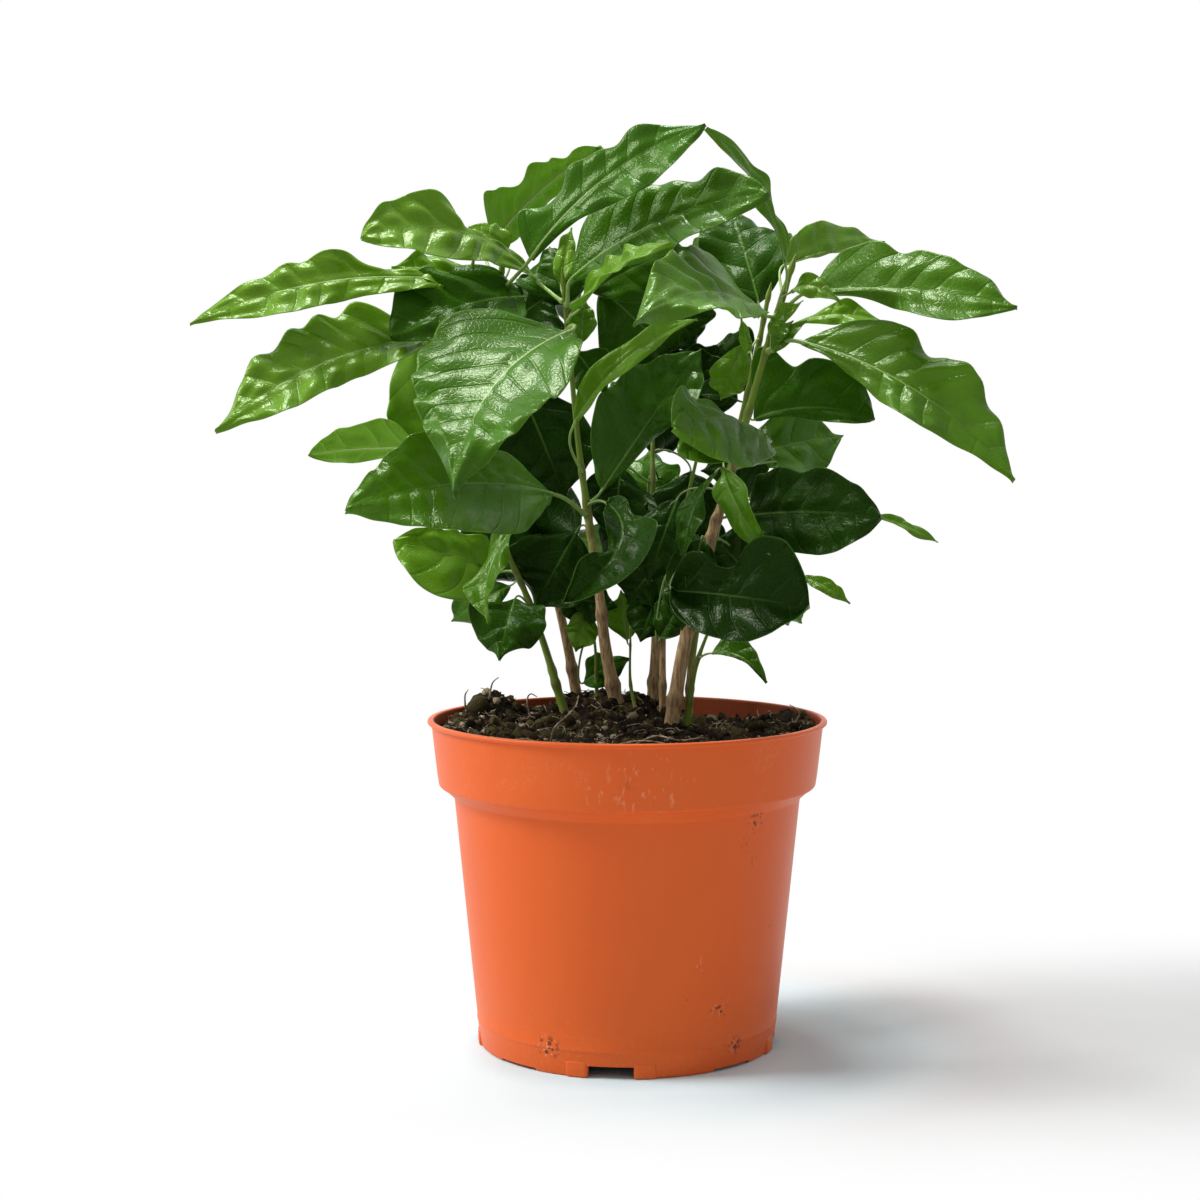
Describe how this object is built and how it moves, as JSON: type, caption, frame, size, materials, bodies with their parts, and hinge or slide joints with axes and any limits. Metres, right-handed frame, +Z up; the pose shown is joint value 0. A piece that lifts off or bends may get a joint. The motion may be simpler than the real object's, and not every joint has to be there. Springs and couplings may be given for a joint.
{
  "type": "potted coffee plant",
  "caption": "Young arabica coffee plants with glossy wavy leaves, growing as one clump from peat in a round terracotta-coloured plastic nursery pot.",
  "frame": {"origin": "middle of the bounding box of the whole plant, at the plane that the pot stands on", "axes": "+Z up along the pot's axis; -Y towards the side shown in the picture; +X to the right as seen from there"},
  "size_m": [0.2434, 0.1676, 0.2764],
  "materials": {
    "pot_plastic": "satin",
    "soil_peat": "matte",
    "stem_green": "satin",
    "stem_bark": "matte",
    "leaf_young": "gloss",
    "leaf_mature": "gloss",
    "leaf_old": "gloss"
  },
  "bodies": {
    "root": {"pot": "pot_plastic", "soil": "soil_peat", "stem_main_left": "stem_bark", "stem_left_olive": "stem_green", "stem_left_crown": "stem_bark", "stem_left_side": "stem_bark", "stem_seedling_left": "stem_green", "stem_seedling_middle": "stem_green", "stem_middle": "stem_bark", "stem_middle_second": "stem_bark", "stem_main_right": "stem_bark", "stem_front_right": "stem_green", "stem_right_second": "stem_green", "leaf_crown_left": "leaf_young", "leaf_top": "leaf_mature", "leaf_top_second": "leaf_mature", "leaf_crown_narrow": "leaf_young", "leaf_top_back": "leaf_young", "leaf_left_upper": "leaf_young", "leaf_left_middle": "leaf_mature", "leaf_left_quilted": "leaf_old", "leaf_left_backlit": "leaf_young", "leaf_left_lower": "leaf_mature", "leaf_left_pale": "leaf_young", "leaf_left_olive": "leaf_mature", "leaf_left_hanging": "leaf_young", "leaf_left_pointed": "leaf_mature", "leaf_left_low": "leaf_old", "leaf_front_big": "leaf_young", "leaf_front_right": "leaf_young", "leaf_centre_dark": "leaf_old", "leaf_centre_curled": "leaf_old", "leaf_centre_shade": "leaf_old", "leaf_back_upper": "leaf_old", "leaf_back_left": "leaf_old", "leaf_mid_hanging": "leaf_old", "leaf_right_backlit": "leaf_young", "leaf_right_upright": "leaf_young", "leaf_right_back": "leaf_old", "leaf_right_arching": "leaf_young", "leaf_right_far": "leaf_young", "leaf_right_upper": "leaf_young", "leaf_right_edge": "leaf_young", "leaf_right_outer": "leaf_mature", "leaf_right_shade": "leaf_old", "leaf_right_low_back": "leaf_mature", "leaf_right_folded": "leaf_old", "leaf_right_hanging": "leaf_young", "leaf_right_big": "leaf_old", "leaf_right_narrow": "leaf_young", "leaf_low_left": "leaf_old", "leaf_low_round": "leaf_old", "leaf_low_back": "leaf_young", "leaf_right_pointed": "leaf_mature", "leaf_middle_olive": "leaf_young", "leaf_rear_left": "leaf_old", "leaf_rear_right": "leaf_old", "leaf_rear_top": "leaf_mature", "leaf_rear_middle": "leaf_mature", "leaf_rear_low": "leaf_old"}
  },
  "joints": []
}
